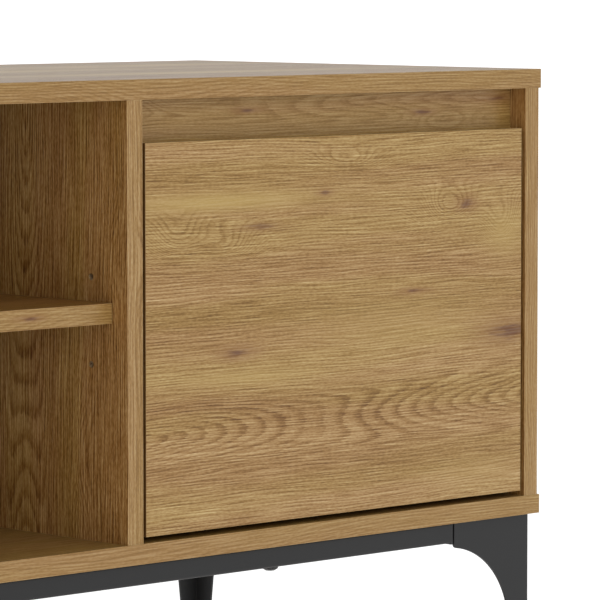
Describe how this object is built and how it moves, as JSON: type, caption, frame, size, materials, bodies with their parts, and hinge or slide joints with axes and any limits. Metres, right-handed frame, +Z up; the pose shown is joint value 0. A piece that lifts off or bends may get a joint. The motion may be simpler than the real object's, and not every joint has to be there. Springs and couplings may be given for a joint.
{
  "type": "tv stand with doors",
  "caption": "Low TV stand: oak-effect board carcass with a side-hung inset door at each end, an open bay with an adjustable shelf between them, and a folded steel base.",
  "frame": {"origin": "on the floor, under the middle of the stand", "axes": "+X to the right seen from the front, +Y to the back, +Z up; the doors face -Y"},
  "size_m": [1.4, 0.4, 0.502],
  "materials": {
    "oak_board": "matt oak-effect melamine",
    "hardboard": "printed hardboard",
    "beech": "raw fluted beech",
    "painted_steel": "fine-textured anthracite powder coat",
    "black_steel": "black oxide",
    "zinc_steel": "zinc or nickel plate",
    "magnet": "sintered ferrite",
    "white_plastic": "moulded",
    "black_plastic": "moulded"
  },
  "bodies": {
    "cabinet": {"top_panel": "oak_board", "bottom_panel": "oak_board", "shelf": "oak_board", "right_side_panel": "oak_board", "right_divider": "oak_board", "right_recess_strip": "oak_board", "right_back_panel": "hardboard", "right_lower_hinge_arm": "zinc_steel", "right_upper_hinge_arm": "zinc_steel", "right_hinge_plates": "zinc_steel", "right_catch_housing": "white_plastic", "front_right_leg": "painted_steel", "rear_right_leg": "painted_steel", "right_side_rail": "painted_steel", "left_side_panel": "oak_board", "left_divider": "oak_board", "left_recess_strip": "oak_board", "left_back_panel": "hardboard", "left_lower_hinge_arm": "zinc_steel", "left_upper_hinge_arm": "zinc_steel", "left_hinge_plates": "zinc_steel", "left_catch_housing": "white_plastic", "front_left_leg": "painted_steel", "rear_left_leg": "painted_steel", "left_side_rail": "painted_steel", "centre_back_panel": "hardboard", "back_panel_nails": "zinc_steel", "shelf_pins": "zinc_steel", "upright_dowels": "beech", "strip_dowels": "beech", "cam_locks": "zinc_steel", "cam_bolts": "zinc_steel", "confirmat_screws": "zinc_steel", "hinge_plate_screws": "zinc_steel", "hinge_arm_screws": "zinc_steel", "catch_magnets": "magnet", "catch_pole_plates": "zinc_steel", "catch_screws": "zinc_steel", "leg_glides": "black_plastic", "leg_screws": "zinc_steel", "front_rail": "painted_steel", "rear_rail": "painted_steel", "rail_end_caps": "black_plastic", "rail_bolts": "black_steel", "rail_bolt_inserts": "zinc_steel"},
    "right_door": {"right_door": "oak_board", "right_hinge_pins": "zinc_steel", "right_cup_screws": "zinc_steel", "right_strike_plate": "zinc_steel", "right_strike_screws": "zinc_steel", "right_lower_hinge_cup": "zinc_steel", "right_upper_hinge_cup": "zinc_steel"},
    "left_door": {"left_door": "oak_board", "left_hinge_pins": "zinc_steel", "left_cup_screws": "zinc_steel", "left_strike_plate": "zinc_steel", "left_strike_screws": "zinc_steel", "left_lower_hinge_cup": "zinc_steel", "left_upper_hinge_cup": "zinc_steel"}
  },
  "joints": [
    {"name": "right_door_swing", "type": "hinge", "parent": "cabinet", "child": "right_door", "pos_m": [0.6719, -0.1917, 0.312], "axis": [0, 0, 1], "range_deg": [0, 95]},
    {"name": "left_door_swing", "type": "hinge", "parent": "cabinet", "child": "left_door", "pos_m": [-0.6719, -0.1917, 0.312], "axis": [0, 0, -1], "range_deg": [0, 95]}
  ]
}
